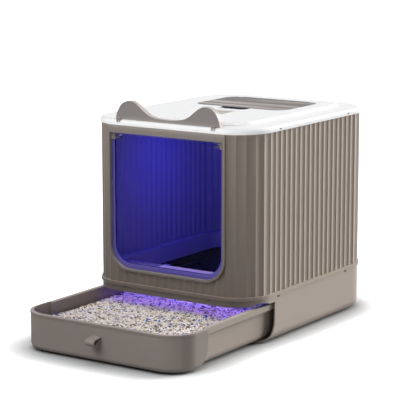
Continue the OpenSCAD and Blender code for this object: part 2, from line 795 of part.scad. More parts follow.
// the pellets lie in the tray as one mass, level but for a low heap
module litter_fill() {
    inset = tray_t + gap;
    low = tray_z + tray_t;
    ledge = 16 + tray_t;
    foot = tray_foot - inset;
    near = front_y + 13;
    color([0.78, 0.73, 0.70]) opened() difference() {
        union() {
            translate([0, 0, low]) linear_extrude(litter_z - low) long_plan(inset);
            translate([0, 0, ledge]) linear_extrude(litter_z - ledge) wide_plan(inset);
            translate([heap_x, heap_y, litter_z - 1])
                cylinder(r1 = heap_r, r2 = 0.55 * heap_r, h = 1 + 0.7 * heap_h);
            translate([heap_x, heap_y, litter_z])
                cylinder(r1 = 0.7 * heap_r, r2 = 0.2 * heap_r, h = heap_h);
        }
        // rounded along the tray's foot
        translate([0, (near + tray_back) / 2, 0])
            ring(tray_w - 2 * inset, tray_back - near - 2 * inset, 44 - inset) difference() {
                translate([-foot, low - 1]) square([foot + 1, foot + 1]);
                translate([-foot, low + foot]) circle(foot);
            }
    }
}

// ---- every piece in its place ----

module placed() {
    translate([0, mid_y, 0]) children();
}

placed() base_housing();
placed() base_feet();
placed() runner_left();
placed() runner_right();
placed() upper_shell();
placed() shell_clips();
placed() entry_frame();
placed() inner_deck();
placed() entry_flap();
placed() flap_rim();
placed() flap_pins();
placed() lid_cover();
placed() lid_clips();
placed() rear_catch();
placed() ear_plate();
placed() hatch_cover();
placed() hatch_pins();
placed() lamp_case();
placed() lamp_board();
placed() lamp_leds();
placed() lamp_lens();
placed() lamp_switch();
placed() battery_cells();
placed() battery_contacts();
placed() lamp_cover();
placed() lamp_button();
placed() drawer_tray();
placed() drawer_front();
placed() pull_tab();
placed() drawer_feet();
placed() drawer_stops();
placed() litter_fill();
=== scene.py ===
# %% [markdown]
# # A drawer litter box, dressed piece by piece
# The shapes come from a solid model that is already packed. This script loads it as a fixed
# frame, gives every piece its finish, makes the pieces that solids can't show well, such as the
# loose litter, and lights the whole on a pale floor. All lengths are in metres.

# %% Load the fixed frame
import math
import bmesh
import bpy
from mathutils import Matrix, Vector, noise


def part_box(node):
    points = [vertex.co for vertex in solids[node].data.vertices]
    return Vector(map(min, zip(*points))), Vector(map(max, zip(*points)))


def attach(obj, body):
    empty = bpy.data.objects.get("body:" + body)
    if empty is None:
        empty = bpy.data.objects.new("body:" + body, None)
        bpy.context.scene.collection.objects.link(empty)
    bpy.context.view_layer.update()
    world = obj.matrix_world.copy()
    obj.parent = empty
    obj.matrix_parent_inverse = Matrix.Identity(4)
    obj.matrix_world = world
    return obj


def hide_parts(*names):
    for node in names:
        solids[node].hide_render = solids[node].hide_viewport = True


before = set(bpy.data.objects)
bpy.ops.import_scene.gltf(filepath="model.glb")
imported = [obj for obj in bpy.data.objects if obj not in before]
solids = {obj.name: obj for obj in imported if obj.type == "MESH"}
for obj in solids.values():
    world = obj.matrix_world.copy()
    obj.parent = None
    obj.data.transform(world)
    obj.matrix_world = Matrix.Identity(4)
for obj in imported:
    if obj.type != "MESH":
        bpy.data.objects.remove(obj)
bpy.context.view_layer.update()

# %% [markdown]
# ## The camera
# A long lens stands well back, to the right of the front and about eleven degrees above level, so
# that the front, the long side and a thin strip of the lid all show. It could be placed by eye, but
# the place, the aim and the lens were fitted to the object's own edges, which is surer.

# %% Camera
CAMERA_AT = (2.0207, -2.99905, 0.9345)
CAMERA_AIM = (-0.04525, 0.10109, 0.23661)
FOCAL_LENGTH, SENSOR_WIDTH, SEES_TO = 149.76, 36, 50


def new_object(name, data):
    made = bpy.data.objects.new(name, data)
    bpy.context.scene.collection.objects.link(made)
    return made


def aim(thing, point):
    thing.rotation_euler = (Vector(point) - thing.location).to_track_quat("-Z", "Y").to_euler()


camera = new_object("camera", bpy.data.cameras.new("camera"))
camera.location = CAMERA_AT
camera.data.sensor_width = SENSOR_WIDTH
camera.data.lens = FOCAL_LENGTH
camera.data.clip_end = SEES_TO
aim(camera, CAMERA_AIM)
bpy.context.scene.camera = camera
print("camera distance:", round(camera.location.length, 3), "m")

# %% [markdown]
# ## Small helpers for node trees
# Every finish below is a tree of nodes. It can be drawn by hand in the shader editor, but a script
# can be read and run again. These helpers add one node with its settings, and wire or set its
# inputs. `worked` does one sum, and `spread` turns a range of values into a share from 0 to 1.

# %% One node, and a little arithmetic
def add(tree, kind, sockets=None, **settings):
    made = tree.nodes.new(kind)
    for key, value in settings.items():
        setattr(made, key, value)
    for key, value in (sockets or {}).items():
        if isinstance(value, bpy.types.NodeSocket):
            tree.links.new(value, made.inputs[key])
        else:
            made.inputs[key].default_value = value
    return made


def put(tree, kind, sockets=None, **settings):
    return add(tree, "ShaderNode" + kind, sockets, **settings)


def worked(tree, operation, first, second=0.0, third=0.0):
    return put(tree, "Math", {0: first, 1: second, 2: third}, operation=operation).outputs[0]


def spread(tree, value, low, high, to_low=0.0, to_high=1.0):
    made = put(tree, "MapRange", {"Value": value, "From Min": low, "From Max": high,
                                  "To Min": to_low, "To Max": to_high})
    return made.outputs[0]


print("helpers for one node: add, put, worked, spread")


# %% Colours, places and directions
def mixed(tree, share, first, second):
    return put(tree, "Mix", {0: share, 6: first, 7: second}, data_type="RGBA").outputs[2]


def scaled(tree, colour, amount):
    return put(tree, "VectorMath", {0: colour, "Scale": amount}, operation="SCALE").outputs[0]


def object_place(tree):
    return put(tree, "TexCoord").outputs["Object"]


def split(tree, vector):
    return put(tree, "SeparateXYZ", {0: vector}).outputs


def facing(tree):
    return split(tree, put(tree, "NewGeometry").outputs["Normal"])


def noisy(tree, place, scale, detail, roughness=0.5):
    sockets = {"Vector": place, "Scale": scale, "Detail": detail, "Roughness": roughness}
    return put(tree, "TexNoise", sockets).outputs["Fac"]


print("helpers for surfaces: mixed, scaled, object_place, split, facing, noisy")


# %% A group with named sockets
def new_group(kind, name, inputs, outputs):
    group = bpy.data.node_groups.new(name, kind + "NodeTree")
    for label, socket, value in inputs:
        made = group.interface.new_socket(label, in_out="INPUT", socket_type="NodeSocket" + socket)
        if value is not None:
            made.default_value = value
    for label, socket in outputs:
        group.interface.new_socket(label, in_out="OUTPUT", socket_type="NodeSocket" + socket)
    given = group.nodes.new("NodeGroupInput").outputs
    return group, given, group.nodes.new("NodeGroupOutput").inputs


print("helper for groups: new_group")

# %% [markdown]
# ## What moulded plastic looks like
# A moulded wall is never one flat colour. The tone drifts slowly over a hand's width, a fine grain
# breaks up the gloss, a few long scuffs catch the light, and pale dust settles on what faces up.
# A photographed texture could show this, but nodes need no image and never repeat. One group holds
# it all, so each plastic below only states its own amounts.

# %% Group: the patterns of a moulded skin
PLASTIC = (0.4, 0.35, 0.3, 1)
SCUFF_TURN, SCUFF_STRETCH = (0.1, 0.2, 0.3), (9, 60, 260)
skin, given, result = new_group(
    "Shader", "Moulded skin",
    [("Colour", "Color", PLASTIC), ("Roughness", "Float", 0.5), ("Drift", "Float", 0.08),
     ("Grain size", "Float", 0.0012), ("Grain depth", "Float", 0.3), ("Scuffs", "Float", 0.2),
     ("Dust", "Float", 0.1)],
    [("Colour", "Color"), ("Roughness", "Float"), ("Height", "Float")])
place = object_place(skin)
drift = worked(skin, "SUBTRACT", noisy(skin, place, scale=5.0, detail=3.0, roughness=0.55), 0.5)
grain = noisy(skin, place, scale=worked(skin, "DIVIDE", 1.0, given["Grain size"]), detail=2.0)
along = put(skin, "Mapping", {"Vector": place, "Rotation": SCUFF_TURN, "Scale": SCUFF_STRETCH})
lines = noisy(skin, along.outputs[0], scale=1.0, detail=4.0, roughness=0.7)
scuff = worked(skin, "MULTIPLY", spread(skin, lines, 0.64, 0.72), given["Scuffs"])
patches = noisy(skin, place, scale=14.0, detail=5.0, roughness=0.65)
upward = spread(skin, facing(skin)["Z"], 0.55, 0.98)
dust = worked(skin, "MULTIPLY", upward, spread(skin, patches, 0.42, 0.68))
dust = worked(skin, "MULTIPLY", dust, given["Dust"])
print("skin patterns:", len(skin.nodes), "nodes")

# %% Group: the skin's colour, roughness and height
SCUFF_TONE, DUST_TONE = (0.78, 0.76, 0.73, 1), (0.80, 0.77, 0.73, 1)
GRAIN_SHOWS, SCUFF_SHOWS, SCUFF_DEPTH = 0.10, 0.25, 0.5
DRIFT_DULLS, SCUFF_DULLS, DUST_DULLS = 0.12, 0.18, 0.4
tone = worked(skin, "MULTIPLY_ADD", drift, given["Drift"], 1.0)
speck = worked(skin, "MULTIPLY", given["Grain depth"], GRAIN_SHOWS)
speck = worked(skin, "MULTIPLY_ADD", worked(skin, "SUBTRACT", grain, 0.5), speck, tone)
toned = scaled(skin, given["Colour"], speck)
scuffed = mixed(skin, worked(skin, "MULTIPLY", scuff, SCUFF_SHOWS), toned, SCUFF_TONE)
skin.links.new(mixed(skin, dust, scuffed, DUST_TONE), result["Colour"])
rough = worked(skin, "MULTIPLY_ADD", drift, DRIFT_DULLS, given["Roughness"])
rough = worked(skin, "MULTIPLY_ADD", scuff, SCUFF_DULLS, rough)
skin.links.new(worked(skin, "MULTIPLY_ADD", dust, DUST_DULLS, rough), result["Roughness"])
grooves = worked(skin, "MULTIPLY", scuff, -SCUFF_DEPTH)
height = worked(skin, "MULTIPLY_ADD", grain, given["Grain depth"], grooves)
skin.links.new(height, result["Height"])
print("moulded skin:", len(skin.nodes), "nodes")

# %% [markdown]
# ## Making one plastic
# The shader itself stays in the material. It reads colour, roughness and height from the group,
# and a bump node turns the height into tiny slopes. Values that are the same all over, such as the
# amount of gloss, could pass through the group too, but are plainer on the shader's own sockets.
# The first plastic is the plain taupe of the inner deck.

# %% A plastic from the skin group
TAUPE = (0.395, 0.335, 0.288)
GRAIN_RELIEF, GRAIN_STRENGTH, COAT_ROUGHNESS = 0.00012, 0.6, 0.12


def new_material(name):
    material = bpy.data.materials.new(name)
    material.use_nodes = True
    tree = material.node_tree
    return material, tree, tree.nodes["Principled BSDF"]


def bumped(tree, shader, height, strength, distance):
    relief = put(tree, "Bump", {"Height": height, "Strength": strength, "Distance": distance})
    tree.links.new(relief.outputs[0], shader.inputs["Normal"])


def moulded(name, colour, roughness, drift=0.08, grain=0.0012, depth=0.3, scuffs=0.15, dust=0.1,
            coat=0.0, specular=0.3):
    material, tree, shader = new_material(name)
    finish = put(tree, "Group", {
        "Colour": (*colour, 1), "Roughness": roughness, "Drift": drift, "Grain size": grain,
        "Grain depth": depth, "Scuffs": scuffs, "Dust": dust}, node_tree=skin)
    tree.links.new(finish.outputs["Colour"], shader.inputs["Base Color"])
    tree.links.new(finish.outputs["Roughness"], shader.inputs["Roughness"])
    bumped(tree, shader, finish.outputs["Height"], GRAIN_STRENGTH, GRAIN_RELIEF)
    shader.inputs["Specular IOR Level"].default_value = specular
    shader.inputs["Coat Weight"].default_value = coat
    shader.inputs["Coat Roughness"].default_value = COAT_ROUGHNESS
    return material


deck_taupe = moulded("taupe base", TAUPE, 0.46, drift=0.06, depth=0.30, scuffs=0.25)
print(deck_taupe.name + ":", len(deck_taupe.node_tree.nodes), "nodes round one group")

# %% [markdown]
# ## Painted shade and light by place and direction
# Some faces of the box get painted shade or painted light in their colour, for how the light falls on
# them. The drawer's sides get painted shade, and the wrapped ends of its front skin more, which shows
# the seam between them. The cabin's front gets painted shade towards its foot and painted light
# towards its top. Each could be a painted mask, but a rule on the place and the direction of a face
# needs no image. Two materials use each rule, so each rule is a group.

# %% Group: darker ends
ends, given, result = new_group(
    "Shader", "Painted shade on ends", [("Colour", "Color", PLASTIC), ("Share", "Float", 0.2)],
    [("Colour", "Color")])
# Painted shade: faces turned outwards to the side get a darker base colour.
side = worked(ends, "SIGN", split(ends, object_place(ends))["X"])
outward = worked(ends, "MULTIPLY", side, facing(ends)["X"])
least = worked(ends, "SUBTRACT", 1.0, given["Share"])
keep = spread(ends, outward, 0.78, 0.97, 1.0, least)
ends.links.new(scaled(ends, given["Colour"], keep), result["Colour"])
print("painted shade on ends:", len(ends.nodes), "nodes")

# %% Group: darker foot
FOOT_Z, TOP_Z = 0.12, 0.42
foot, given, result = new_group(
    "Shader", "Painted shade and light by height",
    [("Colour", "Color", PLASTIC), ("Foot", "Float", 0.6), ("Top", "Float", 1.0)],
    [("Colour", "Color")])
# Painted shade and light: front faces get darker towards the foot and, where Top is above 1, lighter
# towards the top.
height = split(foot, object_place(foot))["Z"]
at_foot = worked(foot, "SUBTRACT", given["Foot"], 1.0)
at_top = worked(foot, "SUBTRACT", given["Top"], 1.0)
change = spread(foot, height, FOOT_Z, TOP_Z, at_foot, at_top)
forward = spread(foot, facing(foot)["Y"], -0.35, -0.95)
keep = worked(foot, "MULTIPLY_ADD", change, forward, 1.0)
foot.links.new(scaled(foot, given["Colour"], keep), result["Colour"])
print("painted shade and light by height:", len(foot.nodes), "nodes")


# %% Drawer, ribbed wall and entry frame
def base_colour(material):
    tree = material.node_tree
    shader = tree.nodes["Principled BSDF"]
    return tree, shader, shader.inputs["Base Color"].links[0].from_socket


def recolour(material, rule, **amounts):
    tree, shader, toned = base_colour(material)
    made = put(tree, "Group", {"Colour": toned, **amounts}, node_tree=rule)
    tree.links.new(made.outputs["Colour"], shader.inputs["Base Color"])


# Painted shade on the drawer's sides, and more on the wrapped ends of its front skin.
drawer_taupe = moulded("taupe drawer", TAUPE, 0.45, drift=0.07, depth=0.30, scuffs=0.30)
recolour(drawer_taupe, ends, Share=0.12)
front_taupe = moulded("taupe drawer skin", (0.395, 0.336, 0.295), 0.45, drift=0.07, depth=0.30,
                      scuffs=0.30)
recolour(front_taupe, ends, Share=0.36)
# Painted shade towards the foot and painted light towards the top of the front faces.
ribbed = moulded("taupe ribbed wall", (0.400, 0.331, 0.278), 0.48, drift=0.06, depth=0.35)
recolour(ribbed, foot, Foot=0.56, Top=1.12)
frame_taupe = moulded("taupe entry frame", (0.405, 0.350, 0.312), 0.42, drift=0.05, depth=0.20)
recolour(frame_taupe, foot, Foot=0.58, Top=1.02)
print("plastics so far:", len(bpy.data.materials))

# %% [markdown]
# The base ring has a rule of its own, a painted shade. The beam over the drawer's mouth gets a darker
# colour, and the ring's inner walls a much darker one, which makes the gap beside the drawer look
# black. More lamps and shades could do this as well, but they would change the pieces around it.

# %% Painted shade on the beam and inner walls
BEAM_LOW, BEAM_HIGH = 0.078, 0.085
BEAM_DARKER, WALL_TIMES = 0.55, 1.6


def shade_beam(material):
    tree, shader, toned = base_colour(material)
    place = split(tree, object_place(tree))
    normal = facing(tree)
    # Painted shade on the front of the beam and on the ring's inner walls.
    over_mouth = spread(tree, place["Z"], BEAM_LOW, BEAM_HIGH)
    beam = worked(tree, "MULTIPLY", over_mouth, spread(tree, normal["Y"], -0.30, -0.90))
    inward = worked(tree, "MULTIPLY", worked(tree, "SIGN", place["X"]), normal["X"])
    walls = worked(tree, "MULTIPLY", spread(tree, inward, -0.3, -0.7), WALL_TIMES)
    keep = worked(tree, "MULTIPLY_ADD", worked(tree, "MAXIMUM", beam, walls), -BEAM_DARKER, 1.0)
    tree.links.new(scaled(tree, toned, keep), shader.inputs["Base Color"])


base_taupe = moulded("taupe base ring", TAUPE, 0.46, drift=0.06, depth=0.30, scuffs=0.25)
shade_beam(base_taupe)
print(base_taupe.name, "darkens from z", BEAM_LOW, "to", BEAM_HIGH)

# %% [markdown]
# ## The white lid and the polished hatch
# The lid's sides get painted light: a little emission on the upright faces makes them brighter than
# the lamps alone do. Light scattered inside the thin wall could brighten them, but it is slow and
# noisy to trace. The front of the low step round the lid's middle gets the most painted light. The
# polished hatch has long, pale streaks from side to side, which are painted reflections. They are
# noise, drawn out along the hatch by a Mapping node.

# %% Painted light on the lid's sides
STEP_LOW, STEP_HIGH = 0.4523, 0.4531
STEP_TIMES = 3.5


def paint_light_on_lid(material, glow):
    tree, shader, toned = base_colour(material)
    normal = facing(tree)
    # Painted light: emission on the lid's upright faces, strongest on the front of its step.
    side = spread(tree, worked(tree, "ABSOLUTE", normal["Z"]), 0.985, 0.90)
    above = spread(tree, split(tree, object_place(tree))["Z"], STEP_LOW, STEP_HIGH)
    step = worked(tree, "MULTIPLY", spread(tree, normal["Y"], -0.08, -0.20), above)
    side = worked(tree, "MAXIMUM", side, worked(tree, "MULTIPLY", step, STEP_TIMES))
    tree.links.new(scaled(tree, toned, side), shader.inputs["Emission Color"])
    shader.inputs["Emission Strength"].default_value = glow


white_gloss = moulded("white lid", (0.795, 0.793, 0.793), 0.32, drift=0.02, depth=0.12,
                      scuffs=0.05, dust=0.05, specular=0.2)
paint_light_on_lid(white_gloss, glow=0.12)
print(white_gloss.name, "gets most painted light above z", STEP_LOW)

# %% Painted reflection streaks
STREAKS_ALONG, STREAK_WIDTH = 2.2, 0.035


def paint_reflection_streaks(material, light):
    tree, shader, toned = base_colour(material)
    drawn = put(tree, "Mapping", {
        "Vector": object_place(tree), "Scale": (STREAKS_ALONG, 1.0 / STREAK_WIDTH, 1.0)})
    # Painted reflections: pale streaks are mixed into the hatch's base colour.
    band = noisy(tree, drawn.outputs[0], scale=1.0, detail=2.5, roughness=0.55)
    lit = mixed(tree, spread(tree, band, 0.44, 0.66), toned, (*light, 1))
    tree.links.new(lit, shader.inputs["Base Color"])


hatch_taupe = moulded("polished taupe hatch", (0.050, 0.036, 0.028), 0.16, drift=0.05, depth=0.08,
                      dust=0.03, specular=0.01)
paint_reflection_streaks(hatch_taupe, light=(0.36, 0.30, 0.265))
print(hatch_taupe.name, "has a streak about every", STREAK_WIDTH, "m")

# %% [markdown]
# ## The other plastics
# Nearly the whole box is the same taupe, a little warmer on the ribs and cooler on the ears, and
# the drawer and the base have more scuffs. The small pieces are plain: white, natural nylon and
# black. One material for all the taupe would be shorter, but then no piece would stand out from
# its neighbour.

# %% Plain plastics
trim_taupe = moulded("taupe trim", TAUPE, 0.42, drift=0.05, depth=0.20)
ear_taupe = moulded("taupe ears", (0.44, 0.395, 0.37), 0.45, drift=0.05, depth=0.25)
dark_taupe = moulded("dark taupe clips", (0.13, 0.115, 0.105), 0.50, depth=0.2)
lamp_white = moulded("white lamp case", (0.80, 0.80, 0.79), 0.40, drift=0.02, depth=0.15)
nylon = moulded("natural nylon", (0.72, 0.71, 0.67), 0.38, drift=0.03, depth=0.2)
black_rubber = moulded("black rubber", (0.022, 0.022, 0.022), 0.80, grain=0.0006, depth=0.6,
                       dust=0.25)
black_plastic = moulded("black plastic", (0.03, 0.03, 0.032), 0.45, depth=0.25)
print("plastics:", len(bpy.data.materials))

# %% [markdown]
# ## Which solid gets which plastic
# The solids whose shape is already right only need a finish. A solid arrives with one material
# slot, and the finish takes its place. Each piece could be dressed where its finish is made, but
# one list shows at a glance what every piece wears.

# %% Finishes on the solids
def dress(material, *names):
    for name in names:
        solids[name].data.materials.clear()
        solids[name].data.materials.append(material)
    print(material.name, "on", ", ".join(names))


dress(ribbed, "upper_shell")
dress(base_taupe, "base_housing")
dress(deck_taupe, "inner_deck")
dress(trim_taupe, "lamp_cover", "pull_tab")
dress(frame_taupe, "entry_frame")
dress(ear_taupe, "ear_plate")
dress(dark_taupe, "shell_clips", "lid_clips")
dress(drawer_taupe, "drawer_tray")
dress(front_taupe, "drawer_front")
dress(hatch_taupe, "hatch_cover")
dress(white_gloss, "lid_cover")
dress(lamp_white, "lamp_case", "lamp_button")
dress(nylon, "drawer_stops")
dress(black_rubber, "base_feet", "drawer_feet")
dress(black_plastic, "runner_left", "runner_right", "rear_catch", "lamp_switch")

# %% [markdown]
# ## Metal, circuit board and cells
# The pins and spring contacts are small steel parts. Steel is a metal, so its colour is its
# reflection, and fine marks roughen it. The board and the cells hide under the lamp's cover and
# show when it is lifted. They could share the plastics' group, but they have no dust or scuffs, so
# one fine noise does for them.

# %% Hidden lamp parts and pins
MARK_TONE, MARK_RELIEF = 0.15, 0.00005


def plain(name, colour, roughness, metallic=0.0, marks=900.0):
    material, tree, shader = new_material(name)
    drawn = noisy(tree, object_place(tree), scale=marks, detail=3.0)
    shade = worked(tree, "MULTIPLY_ADD", drawn, MARK_TONE, 1.0 - MARK_TONE / 2)
    tree.links.new(scaled(tree, colour, shade), shader.inputs["Base Color"])
    rough = worked(tree, "MULTIPLY_ADD", drawn, 0.2, roughness - 0.1)
    tree.links.new(rough, shader.inputs["Roughness"])
    bumped(tree, shader, drawn, 0.4, MARK_RELIEF)
    shader.inputs["Metallic"].default_value = metallic
    return material


steel = plain("drawn steel", (0.58, 0.58, 0.60), 0.32, metallic=1.0)
board_green = plain("circuit board", (0.02, 0.13, 0.06), 0.35, marks=500.0)
cell_wrap = plain("cell sleeve", (0.08, 0.09, 0.12), 0.28, marks=300.0)
dark_steel = plain("darkened steel", (0.10, 0.10, 0.11), 0.38, metallic=1.0)
dress(steel, "hatch_pins", "battery_contacts")
dress(dark_steel, "flap_pins")
dress(board_green, "lamp_board")
dress(cell_wrap, "battery_cells")

# %% [markdown]
# ## The clear flap
# The pane is clear acrylic, which bends light a little. Only its roughness and a very slight
# waviness vary, as on wiped plastic. A glass shader would look much the same, but an export reads
# the principled one better. The pane's thick edge is sanded. Its pale violet line is painted light:
# the edge is an opaque plastic with a clear coat, whose violet colour stands for the cabin's light.

# %% Clear pane and edge in painted violet light
WAVE_RELIEF, PANE_IOR = 0.00004, 1.1


def clear(name, tint, roughness, marks):
    material, tree, shader = new_material(name)
    wiped = noisy(tree, object_place(tree), scale=22.0, detail=5.0, roughness=0.6)
    smear = spread(tree, wiped, 0.5, 0.75, roughness, roughness + marks)
    tree.links.new(smear, shader.inputs["Roughness"])
    bumped(tree, shader, wiped, 0.3, WAVE_RELIEF)
    shader.inputs["Base Color"].default_value = (*tint, 1)
    shader.inputs["Transmission Weight"].default_value = 1.0
    shader.inputs["IOR"].default_value = PANE_IOR
    return material


pane = clear("clear flap", (0.78, 0.80, 1.0), roughness=0.02, marks=0.06)
# The edge's violet colour is painted light from the cabin's lamp.
frosted = moulded("flap edge in painted violet light", (0.17, 0.135, 0.56), 0.18, drift=0.10, depth=0.15, dust=0.0,
                  coat=0.6)
dress(pane, "entry_flap")
dress(frosted, "flap_rim")

# %% [markdown]
# ## The violet lamp
# Six small diodes shine through a frosted lens under the lid. The lens glows unevenly, so noise
# mixes two violets. The glow alone could light the cabin, but it would need far more samples, so an
# area lamp just below the lens carries the light.

# %% Lens and diodes
DIM_VIOLET, BRIGHT_VIOLET = (0.05, 0.035, 0.7, 1), (0.16, 0.12, 1.0, 1)
lit_lens, tree, shader = new_material("lit lens")
spots = noisy(tree, object_place(tree), scale=60.0, detail=2.0)
glow = mixed(tree, spots, DIM_VIOLET, BRIGHT_VIOLET)
tree.links.new(glow, shader.inputs["Emission Color"])
tree.links.new(glow, shader.inputs["Base Color"])
tree.links.new(spread(tree, spots, 0.3, 0.7, 0.35, 0.55), shader.inputs["Roughness"])
shader.inputs["Emission Strength"].default_value = 2.0
dress(lit_lens, "lamp_lens", "lamp_leds")

# %% Their light
VIOLET = (0.035, 0.036, 1.0)
JUST_BELOW = 0.002
LAMP_BACK, AIM_LEFT, AIM_BACK = 0.04, 0.10, 0.12


def area_lamp(name, place, point, size, power, colour):
    lamp = new_object(name, bpy.data.lights.new(name, "AREA"))
    lamp.data.shape, lamp.data.size = "DISK", size
    lamp.data.energy, lamp.data.color = power, colour
    lamp.location = place
    aim(lamp, point)
    print(name, "at", [round(v, 3) for v in lamp.location], "with", power, "W")
    return lamp


lens_low, lens_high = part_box("lamp_lens")
middle = (lens_low + lens_high) / 2
area_lamp("violet lamp", (middle.x, middle.y + LAMP_BACK, lens_low.z - JUST_BELOW),
          (middle.x - AIM_LEFT, middle.y + AIM_BACK, 0.0), size=0.05, power=0.98, colour=VIOLET)

# %% [markdown]
# The cabin's light also reaches the litter under the step behind the sill, which shows through the
# low gap above the tray. Many small reflections carry it there. To trace them all would be slow, so
# a wide, flat lamp under that step stands for them. A second one, above the step, gives the step
# its lilac shine, and a third brightens the open end of the tray. The camera doesn't see them.

# %% Light that spills over the tray
STEP_BACK, STEP_RIGHT, STEP_ABOVE = 0.055, 0.06, 0.10
TRAY_BACK, TRAY_LAMP_Z = 0.13, 0.75
SPILL, LILAC, WARM = (0.34, 0.22, 0.95), (0.62, 0.48, 1.0), (1.0, 0.95, 0.88)


def sheet_lamp(name, place, point, size, power, angle, colour=(1, 1, 1)):
    lamp = area_lamp(name, place, point, size[0], power, colour)
    lamp.data.shape, lamp.data.size_y = "RECTANGLE", size[1]
    lamp.data.spread = math.radians(angle)
    lamp.visible_camera = lamp.visible_glossy = lamp.visible_transmission = False


deck_low, deck_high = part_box("inner_deck")
tray_low, tray_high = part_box("drawer_tray")
step_y = deck_low.y + STEP_BACK
open_y = tray_low.y + TRAY_BACK
sheet_lamp("violet spill", (0, step_y, deck_low.z - JUST_BELOW), (0, step_y, 0),
           size=(0.35, 0.085), power=0.125, angle=140, colour=SPILL)
sheet_lamp("step light", (STEP_RIGHT, step_y, deck_high.z + STEP_ABOVE), (STEP_RIGHT, step_y, 0),
           size=(0.26, 0.07), power=0.055, angle=12, colour=LILAC)
sheet_lamp("tray light", (0, open_y, TRAY_LAMP_Z), (0, open_y, 0),
           size=(0.40, 0.22), power=0.085, angle=6, colour=WARM)

# %% [markdown]
# ## The litter
# In the solid model the litter is one smooth block with a low heap. Here it is made in two layers:
# a soft, uneven surface that takes the block's place, and thousands of loose grains on top. The
# surface is dark, partly with the grit's own tones and partly with painted shade for the gaps between
# the grains. A bump map alone would be lighter, but its edge against the tray would stay flat. The
# surface keeps inside the tray's rounded corners.

# %% Height of the bed
BED_X, BED_FRONT, BED_BACK = 0.1868, tray_low.y + 0.0165, tray_high.y - 0.0123
CORNER = 0.0412
GRIT_Z = 0.0525
HEAP_X, HEAP_Y, HEAP_REACH, HEAP_HEIGHT = 0.03, -0.214, 0.09, 0.007


def bed_height(x, y):
    away = ((x - HEAP_X) / HEAP_REACH) ** 2 + ((y - HEAP_Y) / HEAP_REACH) ** 2
    slow = 0.0025 * noise.noise(Vector((x * 14, y * 14, 3.1)))
    quick = 0.0015 * noise.noise(Vector((x * 60, y * 60, 9.7)))
    return GRIT_Z + HEAP_HEIGHT * math.exp(-away) + slow + quick


print("top of the heap at z", round(bed_height(HEAP_X, HEAP_Y), 4))

# %% The bed's surface
STEPS_X, STEPS_Y = 150, 190


def litter_bed(inset=0.0):
    first, last, radius = BED_FRONT + inset, BED_BACK - inset, CORNER - inset
    shape = bmesh.new()
    rows = []
    for j in range(STEPS_Y + 1):
        y = first + (last - first) * j / STEPS_Y
        half = BED_X - inset
        near_end = max(first + radius - y, y - (last - radius), 0.0)
        if near_end:
            half = BED_X - CORNER + math.sqrt(max(radius ** 2 - near_end ** 2, 0.0))
        row = [-half + 2 * half * i / STEPS_X for i in range(STEPS_X + 1)]
        rows.append([shape.verts.new((x, y, bed_height(x, y))) for x in row])
    for near, far in zip(rows, rows[1:]):
        for i in range(STEPS_X):
            shape.faces.new((near[i], near[i + 1], far[i + 1], far[i]))
    mesh = bpy.data.meshes.new("litter_bed")
    shape.to_mesh(mesh)
    shape.free()
    mesh.shade_smooth()
    return mesh


bed = new_object("litter_bed", litter_bed())
print("bed:", len(bed.data.polygons), "faces, y", round(BED_FRONT, 3), "to", round(BED_BACK, 3))

# %% [markdown]
# ### The grit's colour
# Grains differ in shade. Each could get a random value of its own, but a Voronoi pattern is
# simpler: every cell picks one of the shades at random. A cell of the surface below is about 3 mm
# wide. On the loose grains a cell is two or three times as large, so that most grains show only
# one shade or two.

# %% One litter finish
GRIT_RELIEF = 0.0015


def grit(name, shades, cell):
    material, tree, shader = new_material(name)
    place = object_place(tree)
    cells = put(tree, "TexVoronoi", {"Vector": place, "Scale": 1.0 / cell})
    pick = put(tree, "SeparateColor", {0: cells.outputs["Color"]}).outputs[0]
    ramp = put(tree, "ValToRGB", {"Fac": pick})
    ramp.color_ramp.interpolation = "CONSTANT"
    while len(ramp.color_ramp.elements) < len(shades):
        ramp.color_ramp.elements.new(0.5)
    for stop, (at, colour) in zip(ramp.color_ramp.elements, shades):
        stop.position, stop.color = at, (*colour, 1)
    fine = noisy(tree, place, scale=1500.0, detail=3.0)
    shade = spread(tree, fine, 0.3, 0.7, 0.85, 1.1)
    tree.links.new(scaled(tree, ramp.outputs[0], shade), shader.inputs["Base Color"])
    tree.links.new(spread(tree, fine, 0.3, 0.7, 0.75, 0.85), shader.inputs["Roughness"])
    hollows = worked(tree, "SUBTRACT", worked(tree, "MULTIPLY", fine, 0.3), cells.outputs["Distance"])
    bumped(tree, shader, hollows, 0.8, GRIT_RELIEF)
    print(name + ":", len(shades), "shades")
    return material


# %% The litter's shades
PALE, CREAM, SAND = (0.93, 0.85, 0.77), (0.98, 0.93, 0.87), (0.64, 0.54, 0.47)
# The darkest tones of the bed are painted shade for the gaps between the grains.
GAP_SHADE, BROWN = (0.07, 0.05, 0.045), (0.17, 0.12, 0.10)
TAN, CLAY = (0.34, 0.27, 0.23), (0.36, 0.28, 0.24)
BLUE, NAVY = (0.03, 0.19, 0.78), (0.015, 0.04, 0.20)
packed = grit("litter bed with painted gap shade", [(0.0, GAP_SHADE), (0.45, BROWN), (0.8, TAN), (0.95, NAVY)], cell=0.003)
pale_grit = grit("pale grains", [(0.0, PALE), (0.5, CREAM), (0.85, SAND)], cell=0.008)
brown_grit = grit("brown grains", [(0.0, BROWN), (0.5, CLAY)], cell=0.006)
blue_grit = grit("blue grains", [(0.0, BLUE), (0.5, NAVY)], cell=0.006)
bed.data.materials.append(packed)

# %% [markdown]
# ### Scattering the grains
# The litter is a mix of short rods. A particle system could scatter them, but a node tree shows
# each step. It drops points on the bed's faces and puts a small ball with twenty faces on each. It
# draws the ball out into a rod, squeezes and turns it at random, and makes everything real mesh at
# the end. The seed is an input, so the same grains come out on every run.

